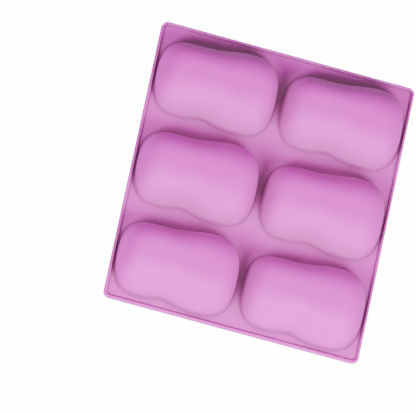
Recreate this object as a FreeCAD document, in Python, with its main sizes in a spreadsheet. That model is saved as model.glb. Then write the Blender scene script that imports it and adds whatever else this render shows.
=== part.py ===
"""Silicone soap mould with six pillow-shaped cups, turned pour side down to free its soaps.

The mould is one soft moulding.  It is divided here where it flexes: three rows of two cups, joined by
two living hinges across the sheet, and in each cup a base panel that is pressed in to free the soap.

Frame: X across the two columns, Y along the three rows (back row at +Y), Z up, out of the backs of the
cups.  The origin is on the surface that the pour face lies on, under the middle of the mould.
"""
import FreeCAD, Part
import math
import os

Vector = FreeCAD.Vector

# Driving dimensions, in millimetres unless the name says otherwise.
SIZES = {
    "mould_width": 200.0,       # X, over the rim
    "mould_length": 224.0,      # Y, over the rim
    "mould_height": 30.0,       # from the pour face to the pads on the cups
    "skin": 2.0,                # thickness of the sheet and of the pads
    "cup_wall": 1.5,            # thickness of a cup's side
    "column_pitch": 99.0,
    "row_pitch": 73.0,
    "cup_shift_x": -0.4,        # the cups sit a little off the middle of the sheet
    "cup_shift_y": -1.6,
    "rim_width": 2.2,
    "rim_height": 3.8,
    "corner_radius": 5.0,
    # a cup's outline on the sheet: a pillow with a small lobe at -X and a large lobe at +X
    "cup_length": 93.5,
    "small_back": 27.1,         # half widths of the lobes, towards the back and the front
    "small_front": 30.2,
    "large_side": 32.3,
    "swell_start": -14.0,       # where the small lobe starts to swell into the large one
    "swell_end": 26.0,
    "waist_dip": 3.0,           # the hollow in the front side between the lobes
    "waist_place": -6.0,
    "waist_spread": 10.0,
    # how square the pillow is: powers of the superellipsoid
    "small_end_power": 7.0,
    "large_end_power": 5.5,
    "side_power": 2.5,
    "height_power": 2.0,
    "pad_share": 0.06,          # share of the pillow, at its top, that is cut off flat
    # the panel on top of a cup that is pressed in
    "panel_share": 0.36,
    "panel_gap": 0.3,
    # the living hinges between the rows
    "web_width": 2.0,
}
OUTLINE_POINTS = 40
LEVELS = 9
BISECTIONS = 40

ROWS = {"front": -1, "middle": 0, "back": 1}
COLUMNS = {"left": -1, "right": 1}


def make_sheet(doc):
    """The spreadsheet of driving dimensions, one row each: name, value."""
    sheet = doc.addObject("Spreadsheet::Sheet", "Sizes")
    for row, (name, value) in enumerate(SIZES.items(), start=1):
        sheet.set(f"A{row}", name)
        sheet.set(f"B{row}", str(value))
        sheet.setAlias(f"B{row}", name)
    doc.recompute()
    return sheet


doc = FreeCAD.newDocument("soap_mould")
sizes = make_sheet(doc)


def bind(thing, **formulas):
    """Ties properties of a document object to the spreadsheet.  Base_x stands for Placement.Base.x."""
    for name, formula in formulas.items():
        path = name.replace("Base_", "Placement.Base.") if name.startswith("Base_") else name
        thing.setExpression(path, formula)
    return thing


# The pillow: |x / half length|^end power + |y / half width|^side power + |z / height|^height power = 1.


def ramp(x, start, end):
    """0 before start, 1 after end, and a smooth turn between them."""
    share = min(1.0, max(0.0, (x - start) / (end - start)))
    return share * share * (3.0 - 2.0 * share)


def half_width(x, to_back):
    """Half the pillow's width at x, towards the back or the front, before its ends close in."""
    small = sizes.small_back if to_back else sizes.small_front
    width = small + (sizes.large_side - small) * ramp(x, sizes.swell_start, sizes.swell_end)
    if not to_back:
        width -= sizes.waist_dip * math.exp(-(((x - sizes.waist_place) / sizes.waist_spread) ** 2))
    return width


def level_point(turn, share):
    """Where a ray at angle `turn` crosses the pillow's outline at the level that keeps `share` of it."""
    along = math.cos(turn)
    across = math.sin(turn)
    power = sizes.large_end_power if along > 0 else sizes.small_end_power
    length_scale = sizes.cup_length / 2.0 * share ** (1.0 / power)
    width_scale = share ** (1.0 / sizes.side_power)
    inner, outer = 0.5, 2.0
    for _ in range(BISECTIONS):
        reach = (inner + outer) / 2.0
        width = half_width(reach * along * length_scale, across > 0)
        across_share = abs(reach * across * sizes.large_side / width) ** sizes.side_power
        if abs(reach * along) ** power + across_share < 1.0:
            inner = reach
        else:
            outer = reach
    return Vector(reach * along * length_scale, reach * across * sizes.large_side * width_scale, 0)


def level_outline(share, grow, height):
    """The pillow's closed outline where `share` of it is left (1 at the sheet), moved out by `grow`."""
    turns = [2.0 * math.pi * step / OUTLINE_POINTS for step in range(OUTLINE_POINTS)]
    ring = [level_point(turn, share) for turn in turns]
    points = []
    for place, point in enumerate(ring):
        tangent = ring[(place + 1) % OUTLINE_POINTS] - ring[place - 1]
        outward = Vector(tangent.y, -tangent.x, 0).normalize()
        points.append(point + outward * grow + Vector(0, 0, height))
    curve = Part.BSplineCurve()
    curve.interpolate(Points=points, PeriodicFlag=True, Parameters=list(range(OUTLINE_POINTS + 1)))
    return Part.Wire(curve.toShape())


def add_outline(name, share, grow, height):
    outline = doc.addObject("Part::Feature", name)
    outline.Shape = level_outline(share, grow, height)
    return outline


def add_pillow(name, grow, height):
    """A loft from the outline on the pour face up to the flat pad that closes the pillow."""
    last = math.acos(math.sqrt(sizes.pad_share))
    sections = []
    for level in range(LEVELS):
        angle = last * level / (LEVELS - 1)
        share = math.cos(angle) ** 2
        rise = (math.sin(angle) / math.sin(last)) ** (2.0 / sizes.height_power)
        sections.append(add_outline(f"{name}_level_{level}", share, grow, height * rise))
    pillow = doc.addObject("Part::Loft", name)
    pillow.Sections = sections
    pillow.Solid = True
    pillow.Ruled = False
    return pillow


def add_prism(name, share, grow):
    """An upright prism over one level of the pillow, as tall as the mould."""
    outline = add_outline(f"{name}_outline", share, grow, 0.0)
    prism = doc.addObject("Part::Extrusion", name)
    prism.Base = outline
    prism.Dir = Vector(0, 0, 1)
    prism.Solid = True
    return bind(prism, LengthFwd="Sizes.mould_height")


def boolean(kind, name, base, tool):
    """A Part::Cut or Part::Common of two objects of the document."""
    result = doc.addObject(f"Part::{kind}", name)
    result.Base = base
    result.Tool = tool
    return result


def add_slab(name, inset, height, corner):
    """A flat slab under the whole mould, `inset` in from its edges, with rounded corners."""
    box = bind(
        doc.addObject("Part::Box", f"{name}_box"),
        Length=f"Sizes.mould_width - 2 * ({inset})",
        Width=f"Sizes.mould_length - 2 * ({inset})",
        Height=height,
        Base_x=f"-Sizes.mould_width / 2 + ({inset})",
        Base_y=f"-Sizes.mould_length / 2 + ({inset})",
    )
    slab = doc.addObject("Part::Fillet", name)
    slab.Base = box
    upright_edges = (1, 3, 5, 7)
    slab.Edges = [(edge, corner, corner) for edge in upright_edges]
    return slab


def add_copy(name, source, column, row):
    """A copy of one cup's piece, set at its own column and row."""
    copy = doc.addObject("Part::Feature", name)
    copy.Shape = source.Shape.copy()
    return bind(
        copy,
        Base_x=f"{COLUMNS[column]} * Sizes.column_pitch / 2 + Sizes.cup_shift_x",
        Base_y=f"{ROWS[row]} * Sizes.row_pitch + Sizes.cup_shift_y",
    )


def make_cup_masters():
    """The wall and the base panel of one cup, about its own middle, and the cup's solid outside."""
    outside = add_pillow("cup_outside", 0.0, sizes.mould_height)
    cavity = add_pillow("cavity", -sizes.cup_wall, sizes.mould_height - sizes.skin)
    skin = boolean("Cut", "cup_skin", outside, cavity)
    panel_hole = add_prism("panel_hole", sizes.panel_share, 0.0)
    panel = add_prism("panel", sizes.panel_share, -sizes.panel_gap)
    wall = boolean("Cut", "cup_wall", skin, panel_hole)
    base = boolean("Common", "cup_base", skin, panel)
    doc.recompute()
    return outside, wall, base


def make_blank(outside):
    """The whole sheet with its rim, punched through where the six cups go."""
    inner_corner = sizes.corner_radius - sizes.rim_width
    plate = add_slab("plate", "Sizes.rim_width", "Sizes.skin", inner_corner)
    band = add_slab("band", "0", "Sizes.rim_height", sizes.corner_radius)
    band_hole = add_slab("band_hole", "Sizes.rim_width", "Sizes.rim_height", inner_corner)
    rim = boolean("Cut", "rim", band, band_hole)
    blank = boolean("Fuse", "sheet_and_rim", plate, rim)
    doc.recompute()
    for row in ROWS:
        for column in COLUMNS:
            before = blank.Shape.Volume
            punch = add_copy(f"punch_{row}_{column}", outside, column, row)
            blank = boolean("Cut", f"sheet_without_{row}_{column}", blank, punch)
            doc.recompute()
            if before - blank.Shape.Volume < sizes.cup_length * sizes.small_back * sizes.skin:
                raise RuntimeError(f"the {row} {column} cup did not cut its hole in the sheet")
    return blank


def cut_strip(label, blank, start, end):
    """The part of the sheet between two formulas for Y, as a sub-part."""
    knife = bind(
        doc.addObject("Part::Box", f"{label}_knife"),
        Length="2 * Sizes.mould_width",
        Width=f"({end}) - ({start})",
        Height="2 * Sizes.mould_height",
        Base_x="-Sizes.mould_width",
        Base_y=start,
    )
    strip = boolean("Common", label, blank, knife)
    strip.Label = label
    return strip


def make_strips(blank):
    """The three rows of sheet, and the two webs between them that bend."""
    front_line = "Sizes.cup_shift_y - Sizes.row_pitch / 2"
    back_line = "Sizes.cup_shift_y + Sizes.row_pitch / 2"
    half_web = "Sizes.web_width / 2"
    edge = "Sizes.mould_length / 2"
    return [
        cut_strip("front_sheet", blank, f"-{edge}", f"{front_line} - {half_web}"),
        cut_strip("front_web", blank, f"{front_line} - {half_web}", f"{front_line} + {half_web}"),
        cut_strip("middle_sheet", blank, f"{front_line} + {half_web}", f"{back_line} - {half_web}"),
        cut_strip("back_web", blank, f"{back_line} - {half_web}", f"{back_line} + {half_web}"),
        cut_strip("back_sheet", blank, f"{back_line} + {half_web}", edge),
    ]


def make_cups(wall, base):
    """Six cups, each a wall and the base panel inside it."""
    pieces = []
    for row in ROWS:
        for column in COLUMNS:
            pieces.append(add_copy(f"{row}_{column}_cup", wall, column, row))
            pieces.append(add_copy(f"{row}_{column}_base", base, column, row))
    return pieces


def check(pieces):
    """Stops if anything in the document failed, or if a sub-part isn't a sound solid."""
    for thing in doc.Objects:
        if "Invalid" in thing.State or "Error" in thing.State:
            raise RuntimeError(f"{thing.Name} failed: {thing.State}")
    for piece in pieces:
        if piece.Shape.isNull() or not piece.Shape.isValid() or not piece.Shape.Solids:
            raise RuntimeError(f"{piece.Label} is not a valid solid")


def export(pieces):
    """Writes each sub-part to a file named after it."""
    os.makedirs("parts", exist_ok=True)
    for piece in pieces:
        piece.Shape.exportStep(f"parts/{piece.Label}.step")
        count = len(piece.Shape.Solids)
        print(f"{piece.Label}: {count} solid(s), {piece.Shape.Volume / 1000:.2f} ml")


cup_outside, cup_wall, cup_base = make_cup_masters()
sub_parts = make_strips(make_blank(cup_outside)) + make_cups(cup_wall, cup_base)
doc.recompute()
check(sub_parts)
export(sub_parts)
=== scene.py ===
"""Looks of the six-cup silicone soap mould: one continuous skin, in pieces that take the places of the CAD
parts.

The sheet is two pieces, front and back, which meet across the middle row and hold the webs between the
rows.  Each cup is a piece that runs from its foot in the sheet to its base on top.
"""
import math

import bmesh
import bpy
import numpy as np
from mathutils import Matrix, Vector


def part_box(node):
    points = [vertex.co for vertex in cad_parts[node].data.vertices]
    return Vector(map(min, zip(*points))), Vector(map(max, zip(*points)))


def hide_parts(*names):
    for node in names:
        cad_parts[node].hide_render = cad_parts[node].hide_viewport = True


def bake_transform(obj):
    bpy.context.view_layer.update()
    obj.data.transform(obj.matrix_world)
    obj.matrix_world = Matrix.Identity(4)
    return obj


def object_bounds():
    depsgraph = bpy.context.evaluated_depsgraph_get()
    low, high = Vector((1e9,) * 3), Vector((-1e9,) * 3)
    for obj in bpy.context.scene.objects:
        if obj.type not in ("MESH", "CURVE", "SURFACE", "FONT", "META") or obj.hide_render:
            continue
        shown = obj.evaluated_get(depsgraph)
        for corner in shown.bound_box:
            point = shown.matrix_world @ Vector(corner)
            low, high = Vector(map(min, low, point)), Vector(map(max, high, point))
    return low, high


MM = 0.001                  # the frame is in metres

ROWS = ("front", "middle", "back")
COLUMNS = ("left", "right")

# The pillow's outline is |x / half length| ^ end power + |y / half width| ^ side power = 1.
SMALL_BACK = 27.1 * MM      # half width of the small lobe towards the back, and towards the front
SMALL_FRONT = 30.2 * MM
SWELL_START = -14.0 * MM    # where the small lobe starts to swell, and where the large one is full
SWELL_END = 26.0 * MM
WAIST_DIP = 3.0 * MM        # depth, place and spread of the waist in the front side
WAIST_PLACE = -6.0 * MM
WAIST_SPREAD = 10.0 * MM
SMALL_END_POWER = 7.0
LARGE_END_POWER = 5.5
SIDE_POWER = 2.5
HEIGHT_POWER = 2.0          # the height has a power of its own, for a rounder dome

SKIN = 2.0 * MM             # the sheet, and the top of a cup
CUP_WALL = 1.5 * MM
FOOT_LEAST = 0.3 * MM       # radius of the hollow round a cup's foot, which takes the room it has
FOOT_MOST = 0.5 * MM
FOOT_SHARE = 0.8
LIP_ROUND = 0.4 * MM        # round the mouth of a cavity, on the pour side
SEAM_FLAT = 0.15 * MM       # flat ring that a cup piece keeps round its foot and its lip
PAD_SETTLE = 0.012          # how much of the height is pressed flat on a cup's pad

RIM_WIDTH = 2.2 * MM
RIM_HEIGHT = 3.8 * MM
RIM_HOLLOW = 0.3 * MM       # radius of the hollow along the inside of the rim
RIM_CROWN = 0.7 * MM        # radius of the rim's two top edges
RIM_EDGE = 0.3 * MM         # radius of its lower edge
RIM_FLASH = 0.06 * MM       # the fine line that the moulding tool leaves round the rim
CORNER_RADIUS = 5.0 * MM
WEB_REACH = 1.8 * MM        # how far each side of its line a web bends

RAYS = 160                  # points round an outline
CORNER_CROWDING = 0.14      # how much the rays crowd towards the corners
OUTLINE_SPAN = (0.5, 2.0)   # where along a ray the outline is looked for, in lengths of the ray
HALVINGS = 50               # of that span
ROUND_STEPS = 5
WALL_RINGS = 34
SHEET_RINGS = 4
FOOT_SMOOTHINGS = 6
TOUCH = 0.0001 * MM         # a point nearer to a line than this is on it
WELD = 0.002 * MM
SHARP_ANGLE = math.radians(42.0)

# Colours of the silicone
PINK = (0.91, 0.027, 0.80, 1.0)
PINK_DEEP = (0.88, 0.022, 0.75, 1.0)
PINK_WORN = (0.88, 0.11, 0.80, 1.0)
# Painted shade: a wide darker pink laid by ambient occlusion into the hollows between the cups
PINK_PAINTED_SHADE = (0.55, 0.150, 0.46, 1.0)
# Painted shade: a darker pink laid into narrower creases and the gaps between the columns
CREASE_PAINTED_SHADE = (0.33, 0.10, 0.24, 1.0)
# Painted shade: a dark line laid into the tight hollow round each cup's foot
FOOT_LINE_PAINTED_SHADE = (0.17, 0.035, 0.12, 1.0)

# Noise in the silicone, each with its cycles a metre, its detail and its roughness
CLOUDS = (22.0, 3.0, 0.55)
SPECKS = (420.0, 2.0, 0.6)
SMEARS = (60.0, 5.0, 0.6)
GRAIN = (1500.0, 3.0, 0.65)
WAVES = (35.0, 2.0, 0.5)

CLOUD_RANGE = (0.35, 0.65)  # the noise that goes from the deep pink to the plain one
SPECK_RANGE = (0.70, 0.76)
WORN_RANGE = (0.515, 0.60)  # the pointiness of edges that are worn pale
PALEST = 0.35               # the greatest share of the worn colour
SMEAR_RANGE = (0.3, 0.7)
SMEAR_ROUGHNESS = (0.50, 0.64)
GRAIN_BUMP = (0.22, 0.06 * MM)      # strength and depth
WAVE_BUMP = (0.35, 0.5 * MM)

# Painted shade in hollows, laid on by ambient occlusion: the reach, the openness at which the painted shade
# is strongest and the one at which it is gone, the colour's greatest share, and the colour
PAINTED_SHADE_IN_HOLLOWS = (
    (40.0 * MM, 0.45, 0.95, 0.75, PINK_PAINTED_SHADE),
    (10.0 * MM, 0.35, 0.85, 0.75, CREASE_PAINTED_SHADE),
    (3.0 * MM, 0.45, 0.88, 1.00, FOOT_LINE_PAINTED_SHADE),
)
HOLLOW_SAMPLES = 8

TRANSLUCENCY = 0.15
TRANSLUCENT_REACH = (1.0, 0.45, 0.85)       # of red, green and blue light, times the scale
TRANSLUCENT_SCALE = 1.5 * MM
SPECULAR_LEVEL = 0.36

# The camera, with its angles in degrees and its distance and aim in metres
AZIMUTH = 335.1
ELEVATION = 68.9
ROLL = 12.2
DISTANCE = 9.0
AIM = (-0.0383, -0.0262, 0.015)
SENSOR = 36.0               # mm
FOCAL_SHARE = 28.906        # the lens, in widths of the sensor
SIGHT = 40.0                # how far it sees, m

# The stage: two soft lights with their places in metres and powers in watts, light all round, and paper
KEYS = (
    ("right_key", (0.95, -1.35, 1.45), 69.0),
    ("left_key", (-1.05, -1.35, 1.45), 56.0),
)
KEY_SIZE = 1.0
KEY_COLOUR = (1.0, 0.73, 0.98)
FILL = (0.25, 0.620, 0.22, 1.0)     # the light from all round, which keeps the shadows from going purple
SKY = (6.0, 6.0, 6.0, 1.0)          # what is seen behind the mould from below the paper
PAPER = (0.7, 0.7, 0.7, 1.0)
PAPER_ROUGHNESS = 0.9
PAPER_GLOW = 14.0           # what the camera sees the paper give off, so that it is white
WHITE = (1.0, 1.0, 1.0, 1.0)
FLOOR_HALF = 3.0            # m
FLOOR_DROP = 50.0 * MM      # room under the mould for a row that bends down

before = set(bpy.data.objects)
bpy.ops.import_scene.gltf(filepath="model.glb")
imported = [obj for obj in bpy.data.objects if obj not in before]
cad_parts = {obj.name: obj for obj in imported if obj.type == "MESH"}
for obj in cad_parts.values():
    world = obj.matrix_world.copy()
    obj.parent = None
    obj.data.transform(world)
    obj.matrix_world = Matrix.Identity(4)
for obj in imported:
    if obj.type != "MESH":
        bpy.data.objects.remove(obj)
cad_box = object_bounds()


def half_size(node, axis):
    low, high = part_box(node)
    return (high[axis] - low[axis]) / 2.0


def middle(node, axis):
    low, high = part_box(node)
    return (high[axis] + low[axis]) / 2.0


HALF_LENGTH = half_size("middle_left_cup", 0)
LARGE_SIDE = half_size("middle_left_cup", 1)
HALF_SIZE = (cad_box[1][0], cad_box[1][1])
HEIGHT = cad_box[1][2]
WEB_LINE = {side: middle(f"{side}_web", 1) for side in ("front", "back")}
CUP_CENTRE = {
    (row, column): (middle(f"{row}_{column}_cup", 0), middle(f"{row}_{column}_cup", 1))
    for row in ROWS for column in COLUMNS
}
COLUMN_LINE = (CUP_CENTRE["middle", "left"][0] + CUP_CENTRE["middle", "right"][0]) / 2.0


# Shape of the pillow


def ramp(x, start, end):
    """0 before `start`, 1 after `end`, and a smooth turn between them."""
    share = np.clip((x - start) / (end - start), 0.0, 1.0)
    return share * share * (3.0 - 2.0 * share)


def half_width(x, to_back):
    """Half the pillow's width at x, towards the back or the front, before its ends close in."""
    swell = ramp(x, SWELL_START, SWELL_END)
    back = SMALL_BACK + (LARGE_SIDE - SMALL_BACK) * swell
    dip = WAIST_DIP * np.exp(-(((x - WAIST_PLACE) / WAIST_SPREAD) ** 2))
    front = SMALL_FRONT + (LARGE_SIDE - SMALL_FRONT) * swell - dip
    return np.where(to_back, back, front)


def fullness(x, y):
    """0 in the middle of the pillow and 1 on its outline."""
    power = np.where(x > 0, LARGE_END_POWER, SMALL_END_POWER)
    across = np.abs(y / half_width(x, y > 0)) ** SIDE_POWER
    return np.abs(x / HALF_LENGTH) ** power + across


def height_share(x, y):
    """Height of the pillow at x, y, as a share of its full height."""
    return np.clip(1.0 - fullness(x, y), 0.0, 1.0) ** (1.0 / HEIGHT_POWER)


def pressed_flat(share, settle):
    """Shares of the height, with those near 1 pressed flat where `settle` isn't 0."""
    lack = 1.0 - share * (1.0 + settle)
    return 1.0 - (lack + np.sqrt(lack * lack + settle * settle)) / 2.0


def ray_angles(corners):
    """Angles of the rays from a cup's centre, with one ray moved onto each of the given corners."""
    turn = np.arange(RAYS) * (2.0 * math.pi / RAYS)
    angles = turn + CORNER_CROWDING * np.sin(4.0 * turn)
    for x, y in corners:
        angle = math.atan2(y / LARGE_SIDE, x / HALF_LENGTH) % (2.0 * math.pi)
        angles[np.argmin(np.abs(angles - angle))] = angle
    return angles


def ray_directions(angles):
    return np.stack([np.cos(angles) * HALF_LENGTH, np.sin(angles) * LARGE_SIDE], axis=1)


def cup_outline(directions):
    """The outline's points along the rays, found by halving, and their outward normals."""
    near = np.full(len(directions), OUTLINE_SPAN[0])
    far = np.full(len(directions), OUTLINE_SPAN[1])
    for _ in range(HALVINGS):
        half = (near + far) / 2.0
        inside = fullness(half * directions[:, 0], half * directions[:, 1]) < 1.0
        near = np.where(inside, half, near)
        far = np.where(inside, far, half)
    ring = directions * near[:, None]
    tangent = np.roll(ring, -1, axis=0) - np.roll(ring, 1, axis=0)
    normal = np.stack([tangent[:, 1], -tangent[:, 0]], axis=1)
    return ring, normal / np.linalg.norm(normal, axis=1)[:, None]


# Mesh making


class Skin:
    """Collects rings and strips of points and joins them with quads."""

    def __init__(self):
        self.points = []
        self.faces = []

    def add(self, xy, z):
        """Adds points and returns their numbers."""
        first = len(self.points)
        heights = np.broadcast_to(z, len(xy))
        self.points.extend((x, y, h) for (x, y), h in zip(xy, heights))
        return np.arange(first, len(self.points))

    def join(self, a, b, closed=True, flip=False):
        """Quads between two rows of points of the same length."""
        count = len(a) if closed else len(a) - 1
        for k in range(count):
            n = (k + 1) % len(a)
            quad = (a[k], a[n], b[n], b[k])
            self.faces.append(quad[::-1] if flip else quad)

    def fan(self, ring, centre, flip=False):
        """Triangles from a ring of points to one point."""
        for k in range(len(ring)):
            triangle = (ring[k], ring[(k + 1) % len(ring)], centre)
            self.faces.append(triangle[::-1] if flip else triangle)

    def build(self, name, material):
        """The mesh object: welded, closed, smooth, with its real edges kept sharp."""
        mesh = bpy.data.meshes.new(name)
        mesh.from_pydata([tuple(p) for p in self.points], [], [tuple(f) for f in self.faces])
        work = bmesh.new()
        work.from_mesh(mesh)
        bmesh.ops.remove_doubles(work, verts=work.verts, dist=WELD)
        loose = [v for v in work.verts if not v.link_faces]
        bmesh.ops.delete(work, geom=loose, context="VERTS")
        open_edges = [e for e in work.edges if e.is_boundary]
        bmesh.ops.holes_fill(work, edges=open_edges, sides=0)
        bmesh.ops.recalc_face_normals(work, faces=work.faces)
        work.to_mesh(mesh)
        work.free()
        mesh.shade_smooth()
        mesh.set_sharp_from_angle(angle=SHARP_ANGLE)
        mesh.materials.append(material)
        piece = bpy.data.objects.new(name, mesh)
        bpy.context.scene.collection.objects.link(piece)
        return piece


def quarter_turn():
    """Angles from 0 to a right angle, in even steps."""
    for step in range(ROUND_STEPS + 1):
        yield math.pi / 2.0 * step / ROUND_STEPS


def quarter_round(inner, level, width, rise):
    """(offset, height) from flat at `level` round to upright at `inner`."""
    for a in quarter_turn():
        yield inner + width - width * math.sin(a), level + rise - rise * math.cos(a)


def ring_scales():
    """Scales of the rings up a wall, close together where the wall is steep."""
    angles = np.linspace(0.0, math.pi / 2.0, WALL_RINGS + 1)[1:-1]
    return np.cos(angles) ** (2.0 / SIDE_POWER)


def cup_rings(skin, cell, level, growth, width, top, settle, flip):
    """One side of a cup's skin, from a flat ring round its foot or lip to the middle of its top.

    The ring lies at `level`.  The wall rises from it in a round of radius `width`, stands `growth`
    outside the cup's outline and ends at `top`, where `settle` of its height is pressed flat.
    """
    first = skin.add(cell.place(growth + width + SEAM_FLAT), level)
    last = first
    for offset, height in quarter_round(growth, level, width, width):
        next_ring = skin.add(cell.place(offset), height)
        skin.join(last, next_ring, flip=flip)
        last = next_ring
    grown = cell.ring + cell.normal * growth
    for scale in ring_scales():
        share = pressed_flat(height_share(*(cell.ring * scale).T), settle)
        next_ring = skin.add(cell.centre + grown * scale, np.maximum(top * share, level + width))
        skin.join(last, next_ring, flip=flip)
        last = next_ring
    peak = skin.add(np.array([cell.centre]), top)
    skin.fan(last, peak[0], flip=flip)
    return first


# The sheet, as one cell round each cup


def tile_reach(row, column):
    """How far a cell reaches from its cup's centre: low x, high x, low y and high y."""
    x, y = CUP_CENTRE[row, column]
    edge_x = HALF_SIZE[0] - RIM_WIDTH
    edge_y = HALF_SIZE[1] - RIM_WIDTH
    low_x, high_x = (-edge_x, COLUMN_LINE) if column == "left" else (COLUMN_LINE, edge_x)
    low_y = {"front": -edge_y, "middle": WEB_LINE["front"], "back": WEB_LINE["back"]}[row]
    high_y = {"front": WEB_LINE["front"], "middle": WEB_LINE["back"], "back": edge_y}[row]
    return low_x - x, high_x - x, low_y - y, high_y - y


def tile_edge(directions, reach):
    """Where each ray leaves the cell."""
    low_x, high_x, low_y, high_y = reach
    across = np.where(directions[:, 0] > 0, high_x, low_x)
    along = np.where(directions[:, 1] > 0, high_y, low_y)
    with np.errstate(divide="ignore"):
        scale = np.minimum(np.abs(across / directions[:, 0]), np.abs(along / directions[:, 1]))
    return directions * scale[:, None]


def leave_circle(ray, centre, radius):
    """Where a ray from the origin leaves a circle."""
    a = ray @ ray
    b = -2.0 * ray @ centre
    c = centre @ centre - radius * radius
    return ray * ((-b + math.sqrt(b * b - 4.0 * a * c)) / (2.0 * a))


def round_rim(edge, reach, row, column, directions):
    """Rounds the cell's outer corner, and gives each point's outward normal on the rim, or zero."""
    low_x, high_x, low_y, high_y = reach
    side_x = -1 if column == "left" else 1
    side_y = {"front": -1, "middle": 0, "back": 1}[row]
    limit_x = low_x if side_x < 0 else high_x
    limit_y = low_y if side_y < 0 else high_y
    normal = np.zeros_like(edge)
    normal[np.abs(edge[:, 0] - limit_x) < TOUCH, 0] = side_x
    if side_y:
        normal[np.abs(edge[:, 1] - limit_y) < TOUCH] = (0, side_y)
        radius = CORNER_RADIUS - RIM_WIDTH
        centre = np.array([limit_x - side_x * radius, limit_y - side_y * radius])
        for k, point in enumerate(edge):
            away = point - centre
            if away[0] * side_x > 0 and away[1] * side_y > 0:
                edge[k] = leave_circle(directions[k], centre, radius)
                normal[k] = (edge[k] - centre) / radius
    return edge, normal


def smooth_round(values):
    """Values round a ring, each averaged with its neighbours, and never more than it was."""
    smooth = values
    for _ in range(FOOT_SMOOTHINGS):
        smooth = (np.roll(smooth, 1) + 2.0 * smooth + np.roll(smooth, -1)) / 4.0
        smooth = np.minimum(smooth, values)
    return smooth


class Cell:
    """One cup's place in the sheet: its outline, the edge of its part of the sheet, and its foot."""

    def __init__(self, row, column):
        self.centre = np.array(CUP_CENTRE[row, column])
        reach = tile_reach(row, column)
        low_x, high_x, low_y, high_y = reach
        corners = [(x, y) for x in (low_x, high_x) for y in (low_y, high_y)]
        directions = ray_directions(ray_angles(corners))
        self.ring, self.normal = cup_outline(directions)
        edge = tile_edge(directions, reach)
        self.edge, self.rim_normal = round_rim(edge, reach, row, column, directions)
        self.on_rim = np.any(self.rim_normal != 0, axis=1)
        on_low_web = (row != "front") & (np.abs(self.edge[:, 1] - low_y) < TOUCH)
        on_high_web = (row != "back") & (np.abs(self.edge[:, 1] - high_y) < TOUCH)
        self.on_web = (on_low_web | on_high_web) & ~self.on_rim
        self.foot = self.foot_radii(row, reach)

    def foot_radii(self, row, reach):
        """The radius of the hollow round the foot at each ray, in the room beside the rim and webs."""
        low_x, high_x, low_y, high_y = reach
        x, y = self.ring.T
        room_x = np.where(x > 0, high_x, -low_x) - np.abs(x)
        room_high = high_y - (WEB_REACH if row != "back" else 0.0)
        room_low = -low_y - (WEB_REACH if row != "front" else 0.0)
        room_y = np.where(y > 0, room_high, room_low) - np.abs(y)
        room = (np.minimum(room_x, room_y) - RIM_HOLLOW) * FOOT_SHARE - SEAM_FLAT
        return smooth_round(np.clip(room, FOOT_LEAST, FOOT_MOST))

    def place(self, offset):
        """The cup's outline moved out by `offset`, one number or one for each ray."""
        return self.centre + self.ring + self.normal * np.reshape(offset, (-1, 1))


def rim_profile():
    """(outward, height) from the sheet's top, over the rim, to the sheet's pour face."""
    shoulder = RIM_HEIGHT - RIM_CROWN
    points = list(quarter_round(0.0, SKIN, -RIM_HOLLOW, RIM_HOLLOW))
    for a in quarter_turn():
        points.append((RIM_CROWN - RIM_CROWN * math.cos(a), shoulder + RIM_CROWN * math.sin(a)))
    for a in quarter_turn():
        points.append((RIM_WIDTH - RIM_CROWN + RIM_CROWN * math.sin(a), shoulder + RIM_CROWN * math.cos(a)))
    points.append((RIM_WIDTH, SKIN + RIM_FLASH))
    points.append((RIM_WIDTH + RIM_FLASH, SKIN))
    points.append((RIM_WIDTH, SKIN - RIM_FLASH))
    for a in quarter_turn():
        points.append((RIM_WIDTH - RIM_EDGE + RIM_EDGE * math.cos(a), RIM_EDGE - RIM_EDGE * math.sin(a)))
    points.append((0.0, 0.0))
    return points


def sheet_level(skin, cell, keep, offset, height, rim_offset):
    """The sheet's flat, on one side, from the ring round the cup to the edge of the cell.

    Beside a web its outer rings are evenly spaced over the web's reach.
    """
    start = cell.place(offset) - cell.centre
    end = cell.edge + cell.rim_normal * rim_offset
    away = np.abs(cell.edge[:, 1])
    rows = [skin.add((cell.centre + start)[keep], height)]
    for k in range(1, SHEET_RINGS + 1):
        evenly = start + (end - start) * (k / SHEET_RINGS)
        inset = WEB_REACH * (1.0 - (k - 1) / (SHEET_RINGS - 1))
        by_web = cell.edge * ((away - inset) / np.maximum(away, WEB_REACH))[:, None]
        ring = np.where(cell.on_web[:, None], by_web, evenly)
        rows.append(skin.add((cell.centre + ring)[keep], height))
    return rows


def rim_bead(skin, cell, keep, profile, closed):
    """The stretch of rim along the cell's outer edges."""
    bead = [
        skin.add((cell.centre + cell.edge + cell.rim_normal * out)[keep], height)
        for out, height in profile
    ]
    on_rim = cell.on_rim[keep]
    count = len(keep) if closed else len(keep) - 1
    for a, b in zip(bead, bead[1:]):
        for k in range(count):
            n = (k + 1) % len(keep)
            if on_rim[k] and on_rim[n]:
                skin.faces.append((a[k], a[n], b[n], b[k]))


def sheet_cell(skin, row, column, keep):
    """One cell of the sheet, top and pour face, with its stretch of rim.  `keep` picks its rays."""
    cell = Cell(row, column)
    profile = rim_profile()
    closed = len(keep) == RAYS
    upper = sheet_level(skin, cell, keep, cell.foot + SEAM_FLAT, SKIN, profile[0][0])
    lip = LIP_ROUND - CUP_WALL + SEAM_FLAT
    lower = sheet_level(skin, cell, keep, lip, 0.0, profile[-1][0])
    for rows, flip in ((upper, True), (lower, False)):
        for a, b in zip(rows, rows[1:]):
            skin.join(a, b, closed=closed, flip=flip)
    skin.join(upper[0], lower[0], closed=closed)
    rim_bead(skin, cell, keep, profile, closed)


# Pieces


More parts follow.
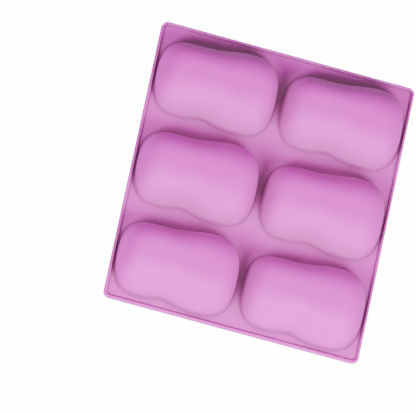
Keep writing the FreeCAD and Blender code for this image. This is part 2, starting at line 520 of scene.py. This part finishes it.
def make_sheet_half(side, material):
    """The sheet in front of, or behind, the middle of the middle row."""
    skin = Skin()
    half = RAYS // 2
    back_rays = np.arange(half + 1)
    front_rays = np.arange(half, RAYS + 1) % RAYS
    for column in COLUMNS:
        sheet_cell(skin, side, column, np.arange(RAYS))
        sheet_cell(skin, "middle", column, back_rays if side == "back" else front_rays)
    piece = skin.build(f"sheet_{side}_half", material)
    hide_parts(f"{side}_sheet", f"{side}_web", "middle_sheet")
    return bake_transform(piece)


def make_cup(row, column, material):
    """One cup, outside and cavity, from its foot in the sheet to its base on top."""
    cell = Cell(row, column)
    skin = Skin()
    outside = cup_rings(skin, cell, SKIN, 0.0, cell.foot, HEIGHT, PAD_SETTLE, False)
    cavity = cup_rings(skin, cell, 0.0, -CUP_WALL, LIP_ROUND, HEIGHT - SKIN, 0.0, True)
    skin.join(outside, cavity, flip=True)
    piece = skin.build(f"{row}_{column}_cup_skin", material)
    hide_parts(f"{row}_{column}_cup", f"{row}_{column}_base")
    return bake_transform(piece)


# Material


def link(tree, source, socket, target, name):
    tree.links.new(source.outputs[socket], target.inputs[name])


def add_noise(tree, place, noise_kind):
    """Noise that is fixed to the object."""
    scale, detail, roughness = noise_kind
    noise = tree.nodes.new("ShaderNodeTexNoise")
    noise.inputs["Scale"].default_value = scale
    noise.inputs["Detail"].default_value = detail
    noise.inputs["Roughness"].default_value = roughness
    link(tree, place, "Object", noise, "Vector")
    return noise


def add_range(tree, source, socket, old_range, new_range):
    """Stretches a value from one range to another."""
    scale = tree.nodes.new("ShaderNodeMapRange")
    scale.inputs["From Min"].default_value = old_range[0]
    scale.inputs["From Max"].default_value = old_range[1]
    scale.inputs["To Min"].default_value = new_range[0]
    scale.inputs["To Max"].default_value = new_range[1]
    link(tree, source, socket, scale, "Value")
    return scale


def add_mix(tree, first, second, factor, socket="Result"):
    """Mixes two colours by a factor; `first` is a colour or a node that gives one."""
    mix = tree.nodes.new("ShaderNodeMix")
    mix.data_type = "RGBA"
    if isinstance(first, tuple):
        mix.inputs["A"].default_value = first
    else:
        tree.links.new(first.outputs[2], mix.inputs["A"])
    mix.inputs["B"].default_value = second
    link(tree, factor, socket, mix, "Factor")
    return mix


def add_hollows(tree, reach):
    """A node whose AO is 1 in the open and falls towards 0 in hollows narrower than `reach`."""
    hollows = tree.nodes.new("ShaderNodeAmbientOcclusion")
    hollows.samples = HOLLOW_SAMPLES
    hollows.inputs["Distance"].default_value = reach
    return hollows


def add_bump(tree, noise, bump_kind):
    strength, depth = bump_kind
    bump = tree.nodes.new("ShaderNodeBump")
    bump.inputs["Strength"].default_value = strength
    bump.inputs["Distance"].default_value = depth
    link(tree, noise, "Fac", bump, "Height")
    return bump


def add_silicone_colour(tree, place):
    """Cloudy pigment, paler worn edges, painted shade that darkens hollows in three widths, and pale
    specks.
    """
    clouds = add_range(tree, add_noise(tree, place, CLOUDS), "Fac", CLOUD_RANGE, (0.0, 1.0))
    colour = add_mix(tree, PINK_DEEP, PINK, clouds)
    geometry = tree.nodes.new("ShaderNodeNewGeometry")
    worn = add_range(tree, geometry, "Pointiness", WORN_RANGE, (0.0, PALEST))
    colour = add_mix(tree, colour, PINK_WORN, worn)
    # Painted shade: hollows are coloured darker by ambient occlusion, in three widths
    for reach, tight, wide, most, painted_shade in PAINTED_SHADE_IN_HOLLOWS:
        share = add_range(tree, add_hollows(tree, reach), "AO", (tight, wide), (most, 0.0))
        colour = add_mix(tree, colour, painted_shade, share)
    specks = add_range(tree, add_noise(tree, place, SPECKS), "Fac", SPECK_RANGE, (0.0, PALEST))
    return add_mix(tree, colour, PINK_WORN, specks)


def make_silicone():
    """Satin, slightly translucent silicone, with a fine matt grain and smears on gentle waves."""
    material = bpy.data.materials.new("pink_silicone")
    material.use_nodes = True
    tree = material.node_tree
    shader = tree.nodes["Principled BSDF"]
    place = tree.nodes.new("ShaderNodeTexCoord")
    colour = add_silicone_colour(tree, place)
    tree.links.new(colour.outputs[2], shader.inputs["Base Color"])
    smears = add_range(tree, add_noise(tree, place, SMEARS), "Fac", SMEAR_RANGE, SMEAR_ROUGHNESS)
    link(tree, smears, "Result", shader, "Roughness")
    grain = add_bump(tree, add_noise(tree, place, GRAIN), GRAIN_BUMP)
    waves = add_bump(tree, add_noise(tree, place, WAVES), WAVE_BUMP)
    link(tree, grain, "Normal", waves, "Normal")
    link(tree, waves, "Normal", shader, "Normal")
    shader.inputs["Subsurface Weight"].default_value = TRANSLUCENCY
    shader.inputs["Subsurface Radius"].default_value = TRANSLUCENT_REACH
    shader.inputs["Subsurface Scale"].default_value = TRANSLUCENT_SCALE
    shader.inputs["Specular IOR Level"].default_value = SPECULAR_LEVEL
    return material


# Camera and light


def make_camera():
    """A long lens, nearly straight above the mould."""
    azimuth = math.radians(AZIMUTH)
    elevation = math.radians(ELEVATION)
    roll = math.radians(ROLL)
    away = Vector((
        math.cos(elevation) * math.sin(azimuth),
        -math.cos(elevation) * math.cos(azimuth),
        math.sin(elevation),
    ))
    right = (-away).cross(Vector((0, 1, 0))).normalized()
    up = right.cross(-away)
    turned_right = right * math.cos(roll) + up * math.sin(roll)
    turned_up = up * math.cos(roll) - right * math.sin(roll)
    camera = bpy.data.cameras.new("camera")
    camera.sensor_width = SENSOR
    camera.lens = SENSOR * FOCAL_SHARE
    camera.clip_end = SIGHT
    holder = bpy.data.objects.new("camera", camera)
    rotation = Matrix((turned_right, turned_up, away)).transposed().to_4x4()
    holder.matrix_world = Matrix.Translation(Vector(AIM) + away * DISTANCE) @ rotation
    bpy.context.scene.collection.objects.link(holder)
    bpy.context.scene.camera = holder


def make_paper():
    """Paper that the camera sees as white from above and doesn't see from below."""
    paper = bpy.data.materials.new("white_paper")
    paper.use_nodes = True
    tree = paper.node_tree
    shader = tree.nodes["Principled BSDF"]
    shader.inputs["Base Color"].default_value = PAPER
    shader.inputs["Roughness"].default_value = PAPER_ROUGHNESS
    shader.inputs["Emission Color"].default_value = WHITE
    seen = tree.nodes.new("ShaderNodeLightPath")
    glow = add_range(tree, seen, "Is Camera Ray", (0.0, 1.0), (0.0, PAPER_GLOW))
    link(tree, glow, "Result", shader, "Emission Strength")
    side = tree.nodes.new("ShaderNodeNewGeometry")
    clear = tree.nodes.new("ShaderNodeBsdfTransparent")
    one_way = tree.nodes.new("ShaderNodeMixShader")
    link(tree, side, "Backfacing", one_way, "Fac")
    link(tree, shader, "BSDF", one_way, 1)
    link(tree, clear, "BSDF", one_way, 2)
    link(tree, one_way, "Shader", tree.nodes["Material Output"], "Surface")
    return paper


def make_floor():
    mesh = bpy.data.meshes.new("floor")
    signs = ((-1, -1), (1, -1), (1, 1), (-1, 1))
    corners = [(x * FLOOR_HALF, y * FLOOR_HALF, -FLOOR_DROP) for x, y in signs]
    mesh.from_pydata(corners, [], [(0, 1, 2, 3)])
    mesh.materials.append(make_paper())
    floor = bpy.data.objects.new("floor", mesh)
    bpy.context.scene.collection.objects.link(floor)


def make_world():
    """Even light from all round, with a white sky where the camera sees it."""
    world = bpy.data.worlds.new("studio")
    bpy.context.scene.world = world
    world.use_nodes = True
    tree = world.node_tree
    seen = tree.nodes.new("ShaderNodeLightPath")
    fill = add_mix(tree, FILL, SKY, seen, "Is Camera Ray")
    tree.links.new(fill.outputs[2], tree.nodes["Background"].inputs["Color"])


def make_key(name, place, power):
    """A round soft light, turned to the middle of the mould."""
    light = bpy.data.lights.new(name, "AREA")
    light.shape = "DISK"
    light.size = KEY_SIZE
    light.energy = power
    light.color = KEY_COLOUR
    holder = bpy.data.objects.new(name, light)
    holder.location = place
    holder.rotation_euler = (-Vector(place)).to_track_quat("-Z", "Y").to_euler()
    bpy.context.scene.collection.objects.link(holder)


make_camera()
make_floor()
make_world()
for key in KEYS:
    make_key(*key)
silicone = make_silicone()
for side in ("front", "back"):
    make_sheet_half(side, silicone)
for row in ROWS:
    for column in COLUMNS:
        make_cup(row, column, silicone)

bpy.context.view_layer.update()
